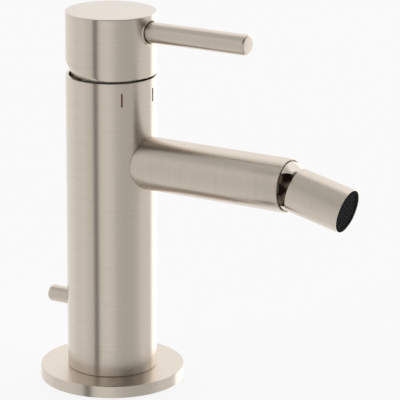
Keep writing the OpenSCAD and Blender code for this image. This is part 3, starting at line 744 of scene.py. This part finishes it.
# %% Aerator screen
BAR_PITCH = 1.4
BAR_W = 0.3
BAR_DEEP = 0.1
bars = int(SCREEN_R / BAR_PITCH)
grid = bmesh.new()
for i in range(-bars, bars + 1):
    offset = i * BAR_PITCH
    half = math.sqrt(SCREEN_R ** 2 - offset ** 2)
    for layer, turn in enumerate((0, 90)):
        middle = SCREEN_TOP - BAR_DEEP * (layer + 0.5)
        size = Matrix.Diagonal((BAR_W, 2 * half, BAR_DEEP, 1))
        turned = Matrix.Rotation(math.radians(turn), 4, "Z")
        bmesh.ops.create_cube(grid, size=1, matrix=turned @ Matrix.Translation((offset, 0, middle)) @ size)
# The bars' lighter black is painted light.
dress(as_object(grid, "screen", ALONG_NOZZLE), "nozzle", ["aerator_screen"],
      finishes["black_plastic_screen"])

# %% [markdown]
# ## Pop-up knob
#
# A small knob stands out of the slot at the back, on a thinner neck, and lifts the rod of the plug. Its
# outer end is so round that a bevel would run out of room, so an arc in the outline makes it.

# %% Knob
NECK_START = 16
NECK_ROD = 2.5
TAIL_R = 2
TAIL_LEN = 5
KNOB_CLEAR = 0.3
KNOB_ROUND = 1.6
KNOB_STEPS = 8
KNOB_EDGE = 0.2
tail_start = NECK_START - TAIL_LEN
knob_r = knob_high.x
knob_start = body_r + KNOB_CLEAR
knob_end = knob_high.y
round_centre = (knob_r - KNOB_ROUND, knob_end - KNOB_ROUND)
knob = lathe([(0, tail_start), (TAIL_R, tail_start), (TAIL_R, NECK_START), (NECK_ROD, NECK_START),
              (NECK_ROD, knob_start), (knob_r, knob_start)]
             + arc(KNOB_ROUND, 0, 90, KNOB_STEPS, round_centre) + [(0, knob_end)], ROD_STEPS)
soften(knob, KNOB_EDGE, keep=edges_in(high=knob_start + NEAR))
dress(as_object(knob, "knob", ALONG_KNOB), "popup", ["lift_knob"], nickel_level)

# %% [markdown]
# ## Camera
#
# The camera stands well back, with a long lens, so that upright lines stay upright. It could be aimed by
# eye. Here its place and lens are worked out from the edges of the column, flange, spout and lever in the
# picture, so the render can be laid over it. All its angles are in degrees.

# %% Camera
AZIMUTH = 60.065
ELEVATION = 16.603
ROLL = 0.306
DISTANCE = 1225.466
AIM = Vector((20.453, -35.518, 85.663))
FOCAL_PIXELS = 2637.54
PHOTO_PIXELS = 400
SENSOR = 36
VIEW_DEPTH = 20000


def direction(side, height):
    """The way to a place at an angle to the right of the camera and an angle above the horizon."""
    turn, rise = math.radians(AZIMUTH - side), math.radians(height)
    return Vector((-math.sin(turn) * math.cos(rise), -math.cos(turn) * math.cos(rise), math.sin(rise)))


back = direction(0, ELEVATION)
sideways = direction(90, 0)
roll = math.radians(ROLL)
right = sideways * math.cos(roll) + back.cross(sideways) * math.sin(roll)
lens = bpy.data.cameras.new("camera")
lens.sensor_width = SENSOR
lens.lens = FOCAL_PIXELS / PHOTO_PIXELS * SENSOR
lens.clip_end = VIEW_DEPTH * MM
camera = bpy.data.objects.new("camera", lens)
facing = Matrix((right, back.cross(right), back)).transposed()
camera.matrix_world = Matrix.Translation((AIM + back * DISTANCE) * MM) @ facing.to_4x4()
bpy.context.scene.collection.objects.link(camera)
bpy.context.scene.camera = camera
print("camera at", [round(v, 3) for v in camera.location], "with a lens of", round(lens.lens, 1), "mm")

# %% [markdown]
# ## Room
#
# Metal shows little but what it mirrors, so the light is mostly a matter of what stands round the tap.
# Lamps and cards could be set up one by one, but each would also have to be kept out of the picture. So
# the world itself is painted as a round, pale room with a few large things in it: a dark screen to the
# left of the camera, a grey card to its right, a bright panel at the far right, and above them the dark
# places of the camera, a stand and a beam. Its mean brightness is about 0.9, so colours come out much as
# they are written.

# %% Room
# Each thing in the room: its angle to the right of the camera, its height angle (None where it reaches
# from floor to ceiling), its half width and its soft edge, all in degrees, and its brightness. Later
# things cover earlier ones.
ROOM_LIGHT = 0.9
ROOM = {
    "back wall": (180, None, 10, 45, 1.1),
    "bright panel": (144, None, 15, 10, 1.87),
    "pale wall": (-128, None, 6, 22, 1.02),
    "far ceiling": (168, 66, 37, 12, 1.23),
    "grey card": (42, None, 4, 42, 0.65),
    "half shade": (-46, None, 2, 24, 0.78),
    "dark screen": (-38.5, None, 2, 6.5, 0.22),
    "ceiling": (-90, 70, 12, 30, 0.64),
    "dark above the camera": (7, 48, 20, 8, 0.1),
    "dark stand": (42, 26, 12, 10, 0.17),
    "dark beam": (76, 38, 16, 10, 0.17),
}
WHITE = (1, 1, 1, 1)
world = bpy.data.worlds.new("studio")
bpy.context.scene.world = world
world.use_nodes = True
tree = world.node_tree
tree.nodes.clear()
place = node(tree, "ShaderNodeTexCoord")
flat_place = node(tree, "ShaderNodeVectorMath", {0: place.outputs["Generated"], 1: (1, 1, 0)},
                  operation="MULTIPLY")
around = node(tree, "ShaderNodeVectorMath", {0: flat_place.outputs[0]}, operation="NORMALIZE")
room = ROOM_LIGHT
for side, height, half, edge, brightness in ROOM.values():
    looking = around.outputs[0] if height is None else place.outputs["Generated"]
    near = node(tree, "ShaderNodeVectorMath", {0: looking, 1: direction(side, height or 0)},
                operation="DOT_PRODUCT")
    inside = node(tree, "ShaderNodeMapRange", {
        "Value": near.outputs["Value"], "From Min": math.cos(math.radians(half + edge)),
        "From Max": math.cos(math.radians(half))}, interpolation_type="SMOOTHSTEP")
    room = node(tree, "ShaderNodeMix", {0: inside.outputs["Result"], 2: room, 3: brightness},
                data_type="FLOAT").outputs[0]
light = node(tree, "ShaderNodeBackground", {"Color": WHITE, "Strength": room})
node(tree, "ShaderNodeOutputWorld", {"Surface": light.outputs[0]})
print("room with", ", ".join(ROOM))

# %% [markdown]
# ## Black card
#
# The chrome dome is dark below its bright top, because a dark thing stands before it. In the room that
# thing would darken the column too. So it is a card on the camera's side, which the camera doesn't see.
# A flat card would do for one point of the dome only. An arc that is spun round the joint bends the card
# to part of a ball, and then every ray that comes straight from the joint meets it square.

# %% Bend the card
CARD_AWAY = 300
CARD_SIDES = (-33, 46)
CARD_HEIGHTS = (-96, 72)
CARD_STEPS = 48
card_bm = bmesh.new()
across = arc(-CARD_AWAY, -CARD_SIDES[0], -CARD_SIDES[1])
verts = [card_bm.verts.new((side, ahead, 0)) for ahead, side in across]
edges = [card_bm.edges.new(pair) for pair in zip(verts, verts[1:])]
bmesh.ops.rotate(card_bm, verts=verts, matrix=Matrix.Rotation(math.radians(-CARD_HEIGHTS[0]), 3, "X"))
bmesh.ops.spin(card_bm, geom=verts + edges, cent=(0, 0, 0), axis=(1, 0, 0),
               angle=math.radians(CARD_HEIGHTS[0] - CARD_HEIGHTS[1]), steps=CARD_STEPS)
bmesh.ops.rotate(card_bm, verts=card_bm.verts, matrix=Matrix.Rotation(math.radians(-AZIMUTH), 3, "Z"))
card = as_object(card_bm, "black_card", Matrix.Translation(ball))
card.data.shade_smooth()
card.visible_camera = False
card.visible_diffuse = False
card.visible_transmission = False
card.visible_shadow = False
print("black card of", len(card.data.polygons), "faces")

# %% [markdown]
# ## Paint on the card
#
# The card is matt black board. Plain black paint would show in the column and the spout as well, and it
# would make the dome one flat black. So only rays that meet the card square find paint, all others pass
# through it, and the paint has large soft patches.

# %% Paint the card
CARD_SQUARE = 1.9
CARD_PATCH = 260
card_paint, tree = new_material("black_card")
slant = node(tree, "ShaderNodeLayerWeight", {"Blend": 0.5})
square = node(tree, "ShaderNodeMath", {
    0: slant.outputs["Facing"], 1: 1 - math.cos(math.radians(CARD_SQUARE))}, operation="LESS_THAN")
place = node(tree, "ShaderNodeTexCoord")
patches = node(tree, "ShaderNodeTexNoise", {
    "Vector": place.outputs["Object"], "Scale": 1 / (CARD_PATCH * MM), "Detail": 0.0})
shade = set_stops(node(tree, "ShaderNodeValToRGB", {"Fac": patches.outputs["Fac"]}),
                  {0.42: colour("#1f1814"), 0.66: colour("#7d7268")})
black = node(tree, "ShaderNodeBsdfDiffuse", {"Color": shade.outputs["Color"]})
clear = node(tree, "ShaderNodeBsdfTransparent")
seen = node(tree, "ShaderNodeMixShader", {0: square.outputs[0], 1: clear.outputs[0], 2: black.outputs[0]})
node(tree, "ShaderNodeOutputMaterial", {"Surface": seen.outputs[0]})
card.data.materials.append(card_paint)
print("the card stops rays within", CARD_SQUARE, "degrees of square")

# %% [markdown]
# ## Floor
#
# A catalogue picture has a white ground with a faint shadow. More light would bleach the tap as well, so
# the floor glows for the camera alone, and the rest of it is pale paint that takes the shadow. Mirrored
# rays pass through it to the room, which goes on below, so that the metal shows the same bright
# surroundings on every side.

# %% Floor
FLOOR_SIZE = 4000
FLOOR_GLOW = 0.86
floor_bm = bmesh.new()
bmesh.ops.create_grid(floor_bm, x_segments=1, y_segments=1, size=FLOOR_SIZE)
floor = as_object(floor_bm, "floor")
floor_paint, tree = new_material("pale_floor")
rays = node(tree, "ShaderNodeLightPath")
glowing = node(tree, "ShaderNodeMath", {0: rays.outputs["Is Camera Ray"], 1: FLOOR_GLOW},
               operation="MULTIPLY")
paint = node(tree, "ShaderNodeBsdfDiffuse", {"Color": colour("#f4f4f3")})
glow = node(tree, "ShaderNodeEmission", {"Color": WHITE, "Strength": 1.0})
look = node(tree, "ShaderNodeMixShader", {0: glowing.outputs[0], 1: paint.outputs[0], 2: glow.outputs[0]})
mirrored = node(tree, "ShaderNodeMath", {
    0: rays.outputs["Is Glossy Ray"], 1: rays.outputs["Is Transmission Ray"]}, operation="MAXIMUM")
clear = node(tree, "ShaderNodeBsdfTransparent")
both = node(tree, "ShaderNodeMixShader", {0: mirrored.outputs[0], 1: look.outputs[0], 2: clear.outputs[0]})
node(tree, "ShaderNodeOutputMaterial", {"Surface": both.outputs[0]})
floor.data.materials.append(floor_paint)
print("floor", round(2 * FLOOR_SIZE * MM, 1), "m wide")

# %% [markdown]
# ## View
#
# The Standard view shows each colour as it is written, where a film-like view would grey it.

# %% View
bpy.context.scene.view_settings.view_transform = "Standard"
